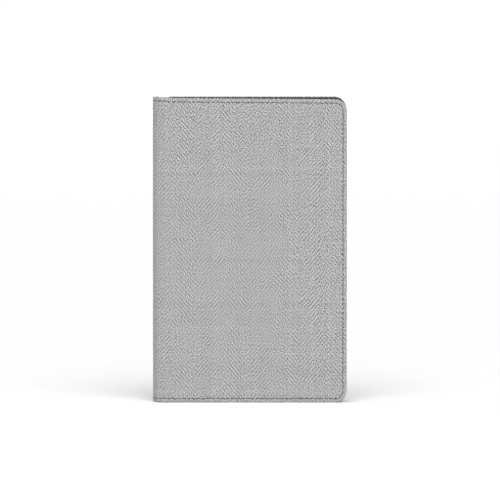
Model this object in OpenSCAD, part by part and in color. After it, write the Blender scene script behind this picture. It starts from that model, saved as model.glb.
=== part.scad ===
// Folio keyboard case for an eight-inch tablet, closed and standing upright.
// X runs from the spine to the free edge, Y from the front cover to the back
// cover, and Z up along the spine. The case stands on Z = 0.

/* [Tablet] */
// Length of the tablet that the tray holds
tablet_l = 209; // [205:0.5:213]
// Width of the tablet
tablet_w = 125; // [124:0.5:128]
// Thickness of the tablet
tablet_t = 8; // [7:0.1:9]

/* [Covers] */
// Thickness of the woven cloth
cloth_t = 0.7; // [0.6:0.05:0.75]
// Thickness of the stiffening boards
board_t = 1.6; // [1.5:0.05:1.8]
// Thickness of the lining
lining_t = 0.5; // [0.4:0.05:0.55]
// Radius of the two corners away from the spine
corner_r = 8.7; // [6:0.1:10]
// How far the covers reach past the tray at its ends
rim_end = 4.8; // [4:0.1:6]
// How far the covers reach past the tray at the free edge
rim_side = 2.1; // [2:0.1:3]

/* [Spine] */
// Distance from the spine's outer face to the tray
spine_gap = 8.5; // [8.5:0.1:10]
// Radius of the spine's bulge
spine_r = 16; // [15:0.5:18]
// Half the angle that the stiff part of the spine spans
spine_a = 30; // [28:1:32]
// How far the soft fold beside the spine dips below the covers' ends
fold_dip = 1; // [0.5:0.1:1.5]

/* [Tray] */
// Thickness of the tray's thin walls
tray_wall = 1.4; // [1.2:0.1:1.8]
// Thickness of the tray's wall that holds the closing magnets
magnet_wall = 3.4; // [3.3:0.1:4]
// Thickness of the tray's floor
tray_floor = 1.3; // [1.2:0.1:1.5]
// How far the tray's lip reaches over the tablet
lip_reach = 1.5; // [1:0.1:2]
// Thickness of the lip
lip_t = 1; // [0.8:0.1:1.2]
// Thickness of the pad under the tablet
pad_t = 0.5; // [0.4:0.1:0.6]

/* [Keyboard] */
// Thickness of the keyboard, from its base to the key tops
keyboard_t = 5.7; // [5.7:0.1:6.2]
// Key pitch across the rows
row_pitch = 15; // [14.5:0.1:15.2]
// Key travel
key_travel = 1.2; // [1:0.05:1.2]
// Gap between neighbouring key caps along a row
key_gap = 2.2; // [2:0.1:2.6]

/* [Stand] */
// Width of the stand flap, from its hinge to its free edge
flap_w = 56; // [50:1:58]
// Outer radius of the hinge's barrel
barrel_r = 1.4; // [1.3:0.05:1.4]
// Number of knuckles along the hinge
knuckles = 11; // [7:2:15]

/* [Hidden] */

$fn = 48;
eps = 0.01;
gap = 0.1; // room between a board and the cloth turned round it

// ---- overall sizes ----
tablet_room = 0.3;
bay_l = tablet_l + 2*tablet_room;
bay_w = tablet_w + 2*tablet_room;
bay_d = tablet_t + 0.2;
glue_t = 0.3;
closed_gap = 1.1; // between the key tops and the tray's lip
cover_t = cloth_t + board_t + lining_t;
case_h = bay_l + 2*tray_wall + 2*rim_end;
case_w = spine_gap + tray_wall + bay_w + magnet_wall + rim_side;
case_t = 2*cover_t + 2*glue_t + keyboard_t + closed_gap + lip_t + bay_d + pad_t + tray_floor;
x0 = -case_w/2;
x1 = case_w/2;
half_t = case_t/2;

// ---- layers of a cover, measured from its outer face ----
cover_y = -half_t;
board_y = cover_y + cloth_t;
lining_y = board_y + board_t;
inner_y = lining_y + lining_t;
cover_x0 = x0 + 10.5;
lining_inset = 0.5;

// ---- spine and its two soft folds ----
fold_t = cloth_t + lining_t;
fold_r = (half_t - spine_r*sin(spine_a))/(1 - sin(spine_a));
spine_cx = x0 + spine_r;
fold_cx = spine_cx - (spine_r - fold_r)*cos(spine_a);
fold_cy = -(spine_r - fold_r)*sin(spine_a);
fold_axis_a = 30;  // from the cover's side of the fold to its hinge line
fold_clear_a = 14; // left open on each side of the hinge line
crease_a = 0.2;    // between the spine's stiff part and its folds

// ---- tray ----
tray_x0 = x0 + spine_gap;
tray_x1 = x1 - rim_side;
tray_z0 = rim_end;
tray_z1 = case_h - rim_end;
tray_back = half_t - cover_t - glue_t;
bay_floor = tray_back - tray_floor;
pad_y = bay_floor - pad_t;
bay_front = pad_y - bay_d;
tray_front = bay_front - lip_t;
bay_x0 = tray_x0 + tray_wall;
bay_x1 = tray_x1 - magnet_wall;
bay_z0 = tray_z0 + tray_wall;
bay_z1 = tray_z1 - tray_wall;
bay_cx = (bay_x0 + bay_x1)/2;
tray_r = 7;
cut_y0 = pad_y - 5.6; // cutouts in the tray's walls, front and back
cut_y1 = pad_y - 0.6;
camera_x = bay_x1 - 13;
camera_z = bay_z1 - 14.8;
camera_r = 7;

// ---- magnets ----
magnet_z = [tray_z0 + 35.2, tray_z1 - 35.2];
magnet_l = 24;

// ---- stand flap, in a window of the back cover ----
hinge_x = x0 + 81;
hinge_y = half_t - cover_t/2;
flap_x1 = hinge_x - 2.4;
flap_x0 = flap_x1 - flap_w;
window_x0 = flap_x0 - 1;
window_x1 = hinge_x + 3.6;
window_z0 = 14;
window_z1 = case_h - 14;
window_r = 6;
flap_room = 1;
notch_r = 7; // thumb notch beside the flap's free edge
leaf_t = 0.5;
leaf_reach = 13.5;
leaf_z0 = window_z0 + 2;
leaf_z1 = window_z1 - 2;
knuckle_l = (leaf_z1 - leaf_z0)/knuckles;
knuckle_room = 0.2;
pin_r = 0.6;
rivet_r = 1;
rivets = 5;
disc_r = 3;

// ---- keyboard: heights are measured from the keyboard's underside ----
kb_y = -half_t + cover_t + glue_t;
kb_x0 = cover_x0 + 8;
kb_x1 = x1 - 4.5;
kb_z0 = 6;
kb_z1 = case_h - 6;
kb_wall = 1.2;
kb_r = 5;
base_t = 0.8;
plate_t = 0.4;
film_t = 0.3;
sheet_t = 0.2;
top_t = keyboard_t;
deck_top = keyboard_t - key_travel;
deck_under = deck_top - 0.8;
flange_top = deck_under - 0.1;
flange_under = flange_top - 0.6;
cap_roof = 1;
dome_top = 2.8;
units = 14; // key widths in a row
unit = (kb_z1 - kb_z0 - 5.6)/units;
kb_zc = (kb_z0 + kb_z1)/2;
bezel = 11;
fn_pitch = 11;
cap_depth = row_pitch - key_gap;
fn_depth = fn_pitch - key_gap - 0.4;
window_room = 0.3;
flange = 0.65;
cap_r = 1.4;
keys_x1 = kb_x1 - bezel;
keys_x0 = keys_x1 - 5*row_pitch - fn_pitch;
// rows from the spine outwards: widths of the keys, from the typist's left
FUNCTION = [for (i = [1:14]) 1];
NUMBER = [for (i = [1:13]) i < 13 ? 1 : 2];
UPPER = [for (i = [1:13]) i == 1 || i == 13 ? 1.5 : 1];
HOME = [for (i = [1:12]) i == 1 ? 1.75 : i == 12 ? 2.25 : 1];
LOWER = [for (i = [1:12]) i == 1 ? 2.25 : i == 12 ? 1.75 : 1];
BOTTOM = [1.25, 1, 1, 1.25, 4.5, 1, 1, 1, 1, 1];
ROWS = [FUNCTION, NUMBER, UPPER, HOME, LOWER, BOTTOM];

// ---- electronics in the strip between the spine and the function row ----
strip_x0 = kb_x0 + kb_wall;
board_x0 = strip_x0 + 1.3;
board_x1 = board_x0 + 16;
board_z0 = case_h - 102;
board_z1 = kb_z1 - 11;
pcb_top = base_t + 0.8;
button_x = board_x0 + 5;
button_z = board_z1 - 40;
light_z = [for (i = [0:2]) board_z1 - 14 - 6*i];
port_x = board_x0 + 9.7;
switch_x = board_x1 - 0.9;
switch_travel = 2.5;
screw_x = [board_x0 + 2.7, kb_x1 - 5.5];
screw_z = [kb_z0 + 5.5, kb_zc, kb_z1 - 5.5];

function ky(t) = kb_y + t;
function sum_to(v, n) = n <= 0 ? 0 : v[n - 1] + sum_to(v, n - 1);
function key_z(row, i) = kb_zc + (units/2 - sum_to(row, i) - row[i]/2)*unit;
function row_x(n) = n == 0 ? keys_x0 + fn_pitch/2 : keys_x0 + fn_pitch + (n - 0.5)*row_pitch;
function row_depth(n) = n == 0 ? fn_depth : cap_depth;

// ---- shared shapes ----

// Draws its flat children, given in X and Z, as a solid from y0 to y1.
module upright(y0, y1) {
    translate([0, y1, 0]) rotate([90, 0, 0]) linear_extrude(y1 - y0) children();
}

// A box between two corners.
module box(a, b) {
    translate(a) cube(b - a);
}

// A rectangle with four round corners.
module round_rect(xa, xb, za, zb, r) {
    translate([xa + r, za]) square([xb - xa - 2*r, zb - za]);
    translate([xa, za + r]) square([xb - xa, zb - za - 2*r]);
    for (x = [xa + r, xb - r], z = [za + r, zb - r]) translate([x, z]) circle(r);
}

// A plate with four round corners.
module slab(xa, xb, za, zb, ya, yb, r) {
    upright(ya, yb) round_rect(xa, xb, za, zb, r);
}

// Part of a ring about an upright axis.
module ring_part(cx, cy, ra, rb, a0, a1, za, zb) {
    translate([cx, cy, za]) rotate([0, 0, a0]) rotate_extrude(angle = a1 - a0)
        translate([ra, 0]) square([rb - ra, zb - za]);
}

// A cover's outline, drawn inset: square beside the spine, round at the free edge.
module cover_outline(inset, from = cover_x0) {
    r = corner_r - inset;
    xb = x1 - inset;
    za = inset;
    zb = case_h - inset;
    translate([from, za]) square([xb - r - from, zb - za]);
    translate([from, za + r]) square([xb - from, zb - za - 2*r]);
    for (z = [za + r, zb - r]) translate([xb - r, z]) circle(r);
}

// The back cover's window with its thumb notch, drawn larger by grow.
module window_outline(grow = 0) {
    round_rect(window_x0 - grow, window_x1 + grow, window_z0 - grow, window_z1 + grow,
        window_r + grow);
    translate([window_x0, case_h/2]) circle(notch_r + grow);
}

// The hole for the tablet's camera.
module camera_hole() {
    translate([camera_x, 0, camera_z]) rotate([90, 0, 0])
        cylinder(r = camera_r, h = 2*case_t, center = true);
}

// One layer of the soft fold beside the spine, up to the room left for bending.
module fold_layer(ra, rb, a0, a1) {
    ring_part(fold_cx, fold_cy, ra, rb, a0, a1, fold_dip, case_h - fold_dip);
}

// One layer of the soft fold beside a cover: an arc that runs on flat to the board's edge.
module fold_strip(ra, rb, a0) {
    flat_l = cover_x0 - fold_cx;
    far = 2*rb;
    translate([fold_cx, fold_cy, fold_dip]) linear_extrude(case_h - 2*fold_dip)
        intersection() {
            difference() {
                union() {
                    circle(rb);
                    translate([0, -rb]) square([flat_l, rb]);
                }
                circle(ra);
                translate([0, -ra]) square([far, ra]);
            }
            polygon([[0, 0], [far*cos(a0), far*sin(a0)], [far*cos(a0), -far],
                [flat_l, -far], [flat_l, 0]]);
        }
}

// ---- covers ----

// Cloth of a cover: its outer face and the edges turned round the board.
module cover_cloth() {
    difference() {
        upright(cover_y, lining_y) cover_outline(0);
        upright(board_y, lining_y + eps) cover_outline(cloth_t, cover_x0 - 1);
    }
    fold_strip(fold_r - cloth_t, fold_r, 270 - fold_axis_a + fold_clear_a);
}

// Board of a cover.
module cover_board() {
    upright(board_y, lining_y) cover_outline(cloth_t + gap, cover_x0 + lining_t + gap);
}

// Lining of a cover: its flat part, the step at the board's edge and the fold.
module cover_lining() {
    upright(lining_y, inner_y) cover_outline(lining_inset);
    box([cover_x0, board_y, fold_dip], [cover_x0 + lining_t, lining_y, case_h - fold_dip]);
    fold_strip(fold_r - fold_t, fold_r - cloth_t, 270 - fold_axis_a + fold_clear_a);
}

module front_cloth() {
    color([0.7, 0.7, 0.7]) cover_cloth();
}

module front_board() {
    color([0.62, 0.55, 0.45]) cover_board();
}

module front_lining() {
    color([0.2, 0.2, 0.21]) cover_lining();
}

// Cloth of the spine: the bulge with its turned ends, and half of each fold
// drawn a hair away from it.
module spine_cloth() {
    color([0.68, 0.68, 0.68]) {
        r0 = spine_r - cloth_t;
        ring_part(spine_cx, 0, r0, spine_r, 180 - spine_a, 180 + spine_a, 0, case_h);
        for (z = [0, case_h - cloth_t])
            ring_part(spine_cx, 0, r0 - board_t, spine_r, 180 - spine_a, 180 + spine_a,
                z, z + cloth_t);
        for (side = [0, 1]) mirror([0, side, 0])
            fold_layer(fold_r - cloth_t, fold_r, 180 + spine_a + crease_a,
                270 - fold_axis_a - fold_clear_a);
    }
}

module spine_board() {
    color([0.62, 0.55, 0.45])
        ring_part(spine_cx, 0, spine_r - cloth_t - board_t, spine_r - cloth_t,
            181 - spine_a, 179 + spine_a, cloth_t + gap, case_h - cloth_t - gap);
}

module spine_lining() {
    color([0.2, 0.2, 0.21]) {
        r0 = spine_r - cover_t;
        ring_part(spine_cx, 0, r0, r0 + lining_t, 180 - spine_a, 180 + spine_a,
            lining_inset, case_h - lining_inset);
        for (side = [0, 1]) mirror([0, side, 0]) {
            // the step at the board's edge
            ring_part(spine_cx, 0, r0 + lining_t, spine_r - cloth_t,
                179.2 + spine_a, 180 + spine_a, fold_dip, case_h - fold_dip);
            fold_layer(fold_r - fold_t, fold_r - cloth_t, 180 + spine_a + crease_a,
                270 - fold_axis_a - fold_clear_a);
        }
    }
}

// Cloth of the back cover: a cover with a window whose edges are turned in too.
module back_cloth() {
    color([0.7, 0.7, 0.7]) difference() {
        union() {
            mirror([0, 1, 0]) cover_cloth();
            upright(-lining_y, -board_y) difference() {
                window_outline(cloth_t);
                window_outline();
            }
            upright(-lining_y, -board_y) translate([camera_x, camera_z])
                circle(camera_r + cloth_t);
        }
        upright(-lining_y - 1, half_t + 1) window_outline();
        camera_hole();
        leaf_pocket(window_x1 - 1, 1);
    }
}

module back_board() {
    color([0.62, 0.55, 0.45]) difference() {
        mirror([0, 1, 0]) cover_board();
        upright(-lining_y - 1, half_t + 1) window_outline(cloth_t + gap);
        upright(-lining_y - 1, half_t + 1) translate([camera_x, camera_z])
            circle(camera_r + cloth_t + gap);
        leaf_pocket(window_x1 - 1, 1);
        rivet_holes(1);
    }
}

module back_lining() {
    color([0.2, 0.2, 0.21]) difference() {
        mirror([0, 1, 0]) cover_lining();
        upright(-inner_y - 1, half_t + 1) window_outline(lining_inset);
        camera_hole();
    }
}

// ---- tray ----

// The tray that holds the tablet: floor, walls, lip and the cutouts in them.
module tray() {
    color([0.1, 0.1, 0.105]) difference() {
        slab(tray_x0, tray_x1, tray_z0, tray_z1, tray_front, tray_back, tray_r);
        slab(bay_x0, bay_x1, bay_z0, bay_z1, bay_front, bay_floor, tray_r - tray_wall);
        slab(bay_x0 + lip_reach, bay_x1 - lip_reach, bay_z0 + lip_reach,
            bay_z1 - lip_reach, tray_front - 1, bay_front + eps, tray_r - tray_wall - lip_reach);
        camera_hole();
        // charging socket, and speakers at both ends
        box([bay_cx - 7, cut_y0, tray_z0 - 1], [bay_cx + 7, cut_y1, bay_z0 + 1]);
        for (z = [tray_z0 - 1, bay_z1 - 1], x = [bay_cx - 36, bay_cx + 36])
            box([x - 10, cut_y0 + 0.2, z], [x + 10, cut_y1 - 0.2, z + tray_wall + 2]);
        // headphone socket
        translate([bay_cx, (cut_y0 + cut_y1)/2, bay_z1 - 1])
            cylinder(r = 3.2, h = tray_wall + 2);
        // the tablet's own buttons
        box([bay_x1 - 1, cut_y0, case_h/2 + 7], [tray_x1 + 1, cut_y1, case_h/2 + 47]);
        for (z = magnet_z)
            box([bay_x1 + 0.7, bay_floor - 7.1, z - magnet_l/2 - 0.3],
                [bay_x1 + 2.9, tray_back + 1, z + magnet_l/2 + 0.3]);
        for (z = stand_magnet_z()) translate([flap_x0 + 6, tray_back + 1, z])
            rotate([90, 0, 0]) cylinder(r = disc_r + 1.1, h = 1.7);
    }
}

module tray_pad() {
    color([0.16, 0.16, 0.17]) difference() {
        slab(bay_x0 + 0.6, bay_x1 - 0.6, bay_z0 + 0.6, bay_z1 - 0.6, pad_y, bay_floor, 5);
        camera_hole();
    }
}

module tray_adhesive() {
    color([0.75, 0.72, 0.65]) difference() {
        slab(tray_x0 + 3, tray_x1 - 4, tray_z0 + 3, tray_z1 - 3,
            tray_back, tray_back + glue_t, 4);
        upright(tray_back - 1, half_t) window_outline(1.2);
        upright(tray_back - 1, half_t) translate([camera_x, camera_z]) circle(camera_r + 1);
    }
}

module tray_magnets() {
    color([0.6, 0.6, 0.62]) for (z = magnet_z)
        box([bay_x1 + 0.8, bay_floor - 7, z - magnet_l/2],
            [bay_x1 + 2.8, bay_floor - 2, z + magnet_l/2]);
}

module stand_keepers() {
    color([0.55, 0.55, 0.57]) for (z = stand_magnet_z())
        translate([flap_x0 + 6, tray_back - 0.05, z]) rotate([90, 0, 0])
            cylinder(r = disc_r + 1, h = 0.6);
}

// ---- stand flap and its hinge ----

function stand_magnet_z() = [case_h/2 - 60, case_h/2 + 60];

module flap_outline(inset) {
    round_rect(flap_x0 + inset, flap_x1 - inset, window_z0 + flap_room + inset,
        window_z1 - flap_room - inset, window_r - flap_room - inset);
}

// Room under a cover's board for a hinge leaf: side is 1 for fixed, -1 for moving.
module leaf_pocket(from, side) {
    far = hinge_x + side*(leaf_reach + 0.3);
    box([min(from, far), -lining_y - 1, leaf_z0 - 0.3],
        [max(from, far), -lining_y + leaf_t + 0.05, leaf_z1 + 0.3]);
}

module rivet_at(side, r, ya, yb) {
    for (i = [0:rivets - 1])
        translate([hinge_x + side*(leaf_reach - 4), yb,
                leaf_z0 + (i + 0.5)*(leaf_z1 - leaf_z0)/rivets])
            rotate([90, 0, 0]) cylinder(r = r, h = yb - ya);
}

module rivet_holes(side) {
    rivet_at(side, rivet_r + 0.05, -lining_y - 1, half_t + 1);
}

// A hinge leaf: its plate and every second knuckle.
module hinge_leaf(side) {
    first = side > 0 ? 0 : 1;
    plate_y = -lining_y;
    clear_r = barrel_r + 0.25;
    near = hinge_x + side*clear_r;
    far = hinge_x + side*leaf_reach;
    difference() {
        union() {
            box([min(near, far), plate_y, leaf_z0], [max(near, far), plate_y + leaf_t, leaf_z1]);
            for (i = [first:2:knuckles - 1]) {
                za = leaf_z0 + i*knuckle_l + knuckle_room/2;
                zb = za + knuckle_l - knuckle_room;
                translate([hinge_x, hinge_y, za]) cylinder(r = barrel_r, h = zb - za);
                box([min(near, hinge_x), plate_y, za],
                    [max(near, hinge_x), plate_y + leaf_t, zb]);
            }
        }
        translate([hinge_x, hinge_y, leaf_z0 - 1])
            cylinder(r = pin_r + 0.05, h = leaf_z1 - leaf_z0 + 2);
        rivet_holes(side);
    }
}

module stand_cloth() {
    color([0.7, 0.7, 0.7]) difference() {
        upright(-lining_y, half_t) flap_outline(0);
        upright(-lining_y - eps, -board_y) flap_outline(cloth_t);
        leaf_pocket(flap_x1 + 1, -1);
    }
}

module stand_board() {
    color([0.62, 0.55, 0.45]) difference() {
        upright(-lining_y, -board_y) flap_outline(cloth_t + gap);
        leaf_pocket(flap_x1 + 1, -1);
        rivet_holes(-1);
        for (z = stand_magnet_z()) translate([flap_x0 + 6, -lining_y + 1.3, z])
            rotate([90, 0, 0]) cylinder(r = disc_r + 0.05, h = 3);
    }
}

module stand_lining() {
    color([0.2, 0.2, 0.21]) upright(-inner_y, -lining_y) flap_outline(lining_inset);
}

module stand_magnets() {
    color([0.6, 0.6, 0.62]) for (z = stand_magnet_z())
        translate([flap_x0 + 6, -lining_y + 1.2, z]) rotate([90, 0, 0])
            cylinder(r = disc_r, h = 1.15);
}

module hinge_leaf_fixed() {
    color([0.3, 0.3, 0.32]) hinge_leaf(1);
}

module hinge_leaf_moving() {
    color([0.32, 0.32, 0.34]) hinge_leaf(-1);
}

module hinge_pin() {
    color([0.5, 0.5, 0.52]) translate([hinge_x, hinge_y, leaf_z0])
        cylinder(r = pin_r, h = leaf_z1 - leaf_z0);
}

module hinge_rivets_fixed() {
    color([0.5, 0.5, 0.52]) rivet_at(1, rivet_r, -lining_y, -board_y - 0.05);
}

module hinge_rivets_moving() {
    color([0.5, 0.5, 0.52]) rivet_at(-1, rivet_r, -lining_y, -board_y - 0.05);
}

// ---- keyboard ----

module keyboard_adhesive() {
    color([0.75, 0.72, 0.65])
        slab(kb_x0 + 2, kb_x1 - 2, kb_z0 + 2, kb_z1 - 2, inner_y, kb_y, kb_r - 2);
}

module screw_spots() {
    for (x = screw_x, z = screw_z) translate([x, 0, z]) rotate([-90, 0, 0]) children();
}

// Base plate, with countersinks for the screws.
module keyboard_base() {
    color([0.13, 0.13, 0.135]) difference() {
        slab(kb_x0, kb_x1, kb_z0, kb_z1, ky(0), ky(base_t), kb_r);
        screw_spots() translate([0, 0, ky(-1)]) {
            cylinder(r = 0.8, h = 3);
            cylinder(r = 1.65, h = 1.5);
        }
    }
}

// Top housing: walls, screw bosses and a window for each key.
module keyboard_deck() {
    color([0.12, 0.12, 0.125]) difference() {
        union() {
            difference() {
                slab(kb_x0, kb_x1, kb_z0, kb_z1, ky(base_t), ky(deck_top), kb_r);
                slab(kb_x0 + kb_wall, kb_x1 - kb_wall, kb_z0 + kb_wall, kb_z1 - kb_wall,
                    ky(base_t - 1), ky(deck_under), kb_r - kb_wall);
            }
            screw_spots() translate([0, 0, ky(base_t)])
                cylinder(r = 2.2, h = deck_top - base_t - 0.4);
        }
        screw_spots() translate([0, 0, ky(0)]) cylinder(r = 0.75, h = deck_under - 0.3);
        upright(ky(deck_under - 0.5), ky(top_t + 1)) for (n = [0:len(ROWS) - 1])
            for (i = [0:len(ROWS[n]) - 1]) {
                w = (ROWS[n][i]*unit - key_gap)/2 + window_room;
                d = row_depth(n)/2 + window_room;
                round_rect(row_x(n) - d, row_x(n) + d, key_z(ROWS[n], i) - w,
                    key_z(ROWS[n], i) + w, cap_r + window_room);
            }
        translate([button_x, ky(top_t), button_z]) rotate([90, 0, 0])
            cylinder(r = 2.8, h = 3);
        for (z = light_z) translate([button_x, ky(top_t), z]) rotate([90, 0, 0])
            cylinder(r = 0.8, h = 3);
        // charging port and power switch, in the end wall
        box([port_x - 3.9, ky(pcb_top - 0.35), kb_z1 - kb_wall - 1],
            [port_x + 3.9, ky(pcb_top + 2.45), kb_z1 + 1]);
        box([switch_x - 1.4, ky(pcb_top + 0.1), kb_z1 - kb_wall - 1],
            [switch_x + 1.4 + switch_travel, ky(pcb_top + 1.9), kb_z1 + 1]);
    }
}

module keyboard_screws() {
    color([0.5, 0.5, 0.52]) screw_spots() translate([0, 0, ky(0.05)]) {
        cylinder(r = 0.7, h = deck_under - 0.6);
        cylinder(r = 1.55, h = 0.4);
    }
}

module key_plate() {
    color([0.6, 0.6, 0.62])
        slab(keys_x0 + 0.5, keys_x1 + 1.5, kb_z0 + 2, kb_z1 - 2,
            ky(base_t), ky(base_t + plate_t), 2);
}

module membrane() {
    color([0.75, 0.8, 0.78])
        slab(keys_x0 + 0.5, keys_x1 + 1.5, kb_z0 + 2, kb_z1 - 2,
            ky(base_t + plate_t), ky(base_t + plate_t + film_t), 2);
}

// Flat tail from the membrane up to the circuit board's connector.
module membrane_tail() {
    xa = keys_x0 + 0.5;
    xb = board_x1 - 0.4;
    low = base_t + plate_t;
    high = pcb_top + 0.3;
    color([0.72, 0.76, 0.74]) translate([0, 0, case_h/2 + 45]) linear_extrude(14)
        polygon([[xa, ky(low)], [xa - 0.8, ky(low)], [xb + 0.6, ky(high)],
            [xb, ky(high)], [xb, ky(high + film_t)], [xb + 0.8, ky(high + film_t)],
            [xa - 0.6, ky(low + film_t)], [xa, ky(low + film_t)]]);
}

// Rubber sheet with a dome under every key, drawn at its pressed height.
module dome_sheet() {
    low = base_t + plate_t + film_t;
    color([0.85, 0.85, 0.83]) {
        slab(keys_x0 + 0.5, keys_x1 + 1.5, kb_z0 + 2, kb_z1 - 2, ky(low), ky(low + sheet_t), 2);
        for (n = [0:len(ROWS) - 1]) for (i = [0:len(ROWS[n]) - 1])
            translate([row_x(n), ky(low + sheet_t - 0.05), key_z(ROWS[n], i)])
                rotate([-90, 0, 0])
                    cylinder(r1 = 3.2, r2 = 1.9, h = dome_top - low - sheet_t + 0.05);
    }
}

// A hollow key cap with a flange under the deck and a plunger over its dome.
module key_cap(x, z, w, d) {
    difference() {
        union() {
            slab(x - d/2, x + d/2, z - w/2, z + w/2, ky(flange_under), ky(top_t), cap_r);
            slab(x - d/2 - flange, x + d/2 + flange, z - w/2 - flange, z + w/2 + flange,
                ky(flange_under), ky(flange_top), cap_r);
        }
        slab(x - d/2 + 1, x + d/2 - 1, z - w/2 + 1, z + w/2 - 1,
            ky(flange_under - 1), ky(top_t - cap_roof), 0.6);
    }
    translate([x, ky(dome_top + 0.1 + key_travel), z]) rotate([-90, 0, 0])
        cylinder(r = 1.8, h = top_t - cap_roof - dome_top - key_travel);
}

// The keys of row n whose numbers are in the list.
module key_caps(n, numbers) {
    for (i = numbers)
        key_cap(row_x(n), key_z(ROWS[n], i), ROWS[n][i]*unit - key_gap, row_depth(n));
}

module keys_function() {
    color([0.16, 0.16, 0.165]) key_caps(0, [0:13]);
}

module keys_number() {
    color([0.16, 0.16, 0.165]) key_caps(1, [0:11]);
}

module key_backspace() {
    color([0.18, 0.18, 0.185]) key_caps(1, [12]);
}

module keys_upper() {
    color([0.16, 0.16, 0.165]) key_caps(2, [0:12]);
}

module keys_home() {
    color([0.16, 0.16, 0.165]) key_caps(3, [0:10]);
}

module key_enter() {
    color([0.18, 0.18, 0.185]) key_caps(3, [11]);
}

module keys_lower() {
    color([0.16, 0.16, 0.165]) key_caps(4, [1:11]);
}

module key_shift() {
    color([0.18, 0.18, 0.185]) key_caps(4, [0]);
}

module keys_bottom() {
    color([0.16, 0.16, 0.165]) key_caps(5, [0, 1, 2, 3, 5, 6, 7, 8, 9]);
}

module key_space() {
    color([0.18, 0.18, 0.185]) key_caps(5, [4]);
}

// ---- electronics ----

module main_board() {
    color([0.1, 0.35, 0.2])
        box([board_x0, ky(base_t), board_z0], [board_x1, ky(pcb_top), board_z1]);
}

// Flat packages on the circuit board, and the connector for the membrane's tail.
module board_chips() {
    color([0.08, 0.08, 0.08]) {
        box([board_x0 + 3, ky(pcb_top), board_z0 + 8],
            [board_x0 + 10, ky(pcb_top + 0.9), board_z0 + 15]);
        box([board_x0 + 3, ky(pcb_top), board_z0 + 22],
            [board_x0 + 8, ky(pcb_top + 0.8), board_z0 + 27]);
        box([board_x0 + 11, ky(pcb_top), board_z0 + 14],
            [board_x0 + 14, ky(pcb_top + 1.2), board_z0 + 19]);
        box([board_x1 - 2.6, ky(pcb_top), case_h/2 + 44],
            [board_x1 - 0.4, ky(pcb_top + 1.1), case_h/2 + 60]);
    }
}

module battery() {
    color([0.7, 0.7, 0.72])
        slab(board_x0 + 0.2, board_x1 - 1, kb_z0 + 10, kb_zc - 6,
            ky(base_t + 0.05), ky(base_t + 2.75), 1);
}

module charging_port() {
    color([0.75, 0.75, 0.77]) difference() {
        box([port_x - 3.7, ky(pcb_top - 0.2), board_z1 - 4.4],
            [port_x + 3.7, ky(pcb_top + 2), kb_z1 - 0.1]);
        box([port_x - 3.3, ky(pcb_top + 0.1), board_z1 + 2.6],
            [port_x + 3.3, ky(pcb_top + 1.7), kb_z1 + 1]);
        box([port_x - 4, ky(pcb_top - 1), board_z1 - 5],
            [port_x + 4, ky(pcb_top), board_z1 + 0.1]);
    }
}

module power_switch_body() {
    color([0.3, 0.3, 0.32])
        box([switch_x - 1.2, ky(base_t + 0.05), kb_z1 - kb_wall - 3.6],
            [switch_x + 1.2 + switch_travel, ky(pcb_top + 1.9), kb_z1 - kb_wall - 0.8]);
}

// Knob that slides along the end wall.
module power_switch_knob() {
    color([0.2, 0.2, 0.21]) difference() {
        box([switch_x - 1.2, ky(pcb_top + 0.3), kb_z1 - kb_wall - 0.5],
            [switch_x + 1.2, ky(pcb_top + 1.7), kb_z1 + 0.7]);
        for (i = [-1:1])
            box([switch_x + 0.7*i - 0.12, ky(pcb_top), kb_z1 + 0.45],
                [switch_x + 0.7*i + 0.12, ky(pcb_top + 2), kb_z1 + 1]);
    }
}

module pair_switch() {
    color([0.7, 0.7, 0.72]) translate([button_x, 0, button_z])
        box([-1.5, ky(pcb_top), -1.5], [1.5, ky(pcb_top + 0.55), 1.5]);
}

// Pairing button: a cap with a flange under the deck.
module pair_button() {
    color([0.2, 0.2, 0.21]) translate([button_x, ky(flange_top - 0.6), button_z])
        rotate([-90, 0, 0]) {
            cylinder(r = 2.5, h = deck_top - flange_top + 1.1);
            cylinder(r = 3.2, h = 0.6);
        }
}

module light_pipes() {
    color([0.9, 0.95, 0.95]) for (z = light_z)
        translate([button_x, ky(pcb_top), z]) rotate([-90, 0, 0])
            cylinder(r = 0.7, h = deck_top - pcb_top);
}

module keyboard_magnets() {
    color([0.6, 0.6, 0.62]) for (z = magnet_z)
        box([kb_x1 - kb_wall - 3.4, ky(base_t), z - magnet_l/2],
            [kb_x1 - kb_wall - 0.4, ky(base_t + 2.2), z + magnet_l/2]);
}

front_cloth();
front_board();
front_lining();
spine_cloth();
spine_board();
spine_lining();
back_cloth();
back_board();
back_lining();
tray();
tray_pad();
tray_adhesive();
tray_magnets();
stand_keepers();
stand_cloth();
stand_board();
stand_lining();
stand_magnets();
hinge_leaf_fixed();
hinge_leaf_moving();
hinge_pin();
hinge_rivets_fixed();
hinge_rivets_moving();
keyboard_adhesive();
keyboard_base();
keyboard_deck();
keyboard_screws();
key_plate();
membrane();
membrane_tail();
dome_sheet();
keys_function();
keys_number();
key_backspace();
keys_upper();
keys_home();
key_enter();
keys_lower();
key_shift();
keys_bottom();
key_space();
main_board();
board_chips();
battery();
charging_port();
power_switch_body();
power_switch_knob();
pair_switch();
pair_button();
light_pipes();
keyboard_magnets();
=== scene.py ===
import math
import random

import bmesh
import bpy
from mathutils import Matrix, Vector
from mathutils.geometry import delaunay_2d_cdt


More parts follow.
